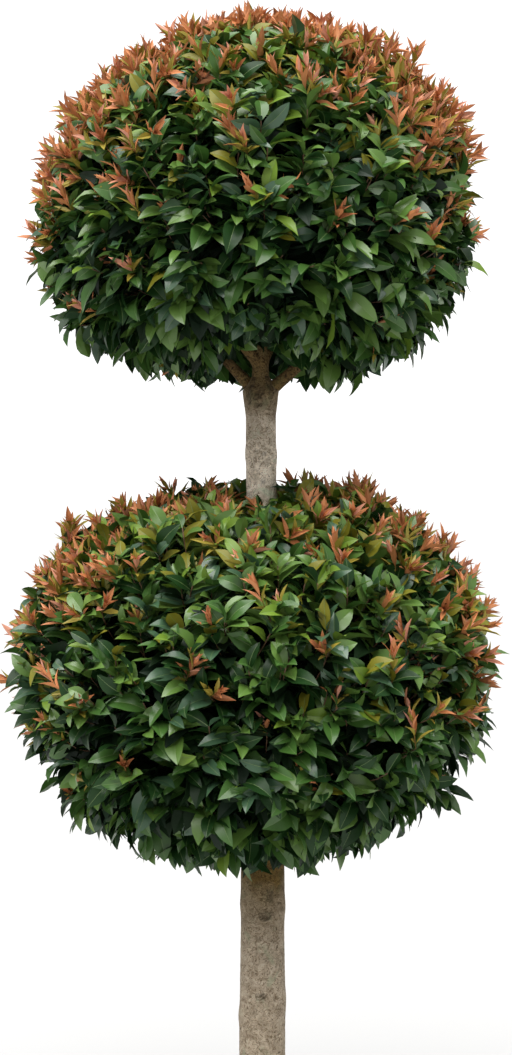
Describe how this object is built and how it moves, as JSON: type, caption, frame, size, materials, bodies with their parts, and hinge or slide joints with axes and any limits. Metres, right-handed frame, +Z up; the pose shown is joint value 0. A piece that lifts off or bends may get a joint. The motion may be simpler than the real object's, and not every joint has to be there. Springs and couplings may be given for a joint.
{
  "type": "clipped double-ball eugenia shrub",
  "caption": "Clipped topiary shrub: a bare straight stem carries two flattened balls of evergreen foliage, one above the other.",
  "frame": {"origin": "centre of the flat cut under the stem, at ground level", "axes": "+Z up along the stem, -Y towards the side that the picture shows, +X to that side's right"},
  "size_m": [0.693, 0.6927, 1.7416],
  "materials": {
    "bark": "matt, scaly bark",
    "foliage": "glossy evergreen leaves"
  },
  "bodies": {
    "root": {"stem": "bark", "bough_left": "bark", "bough_right": "bark", "bough_centre_left": "bark", "bough_centre_right": "bark", "lower_head": "foliage", "upper_head": "foliage"}
  },
  "joints": []
}
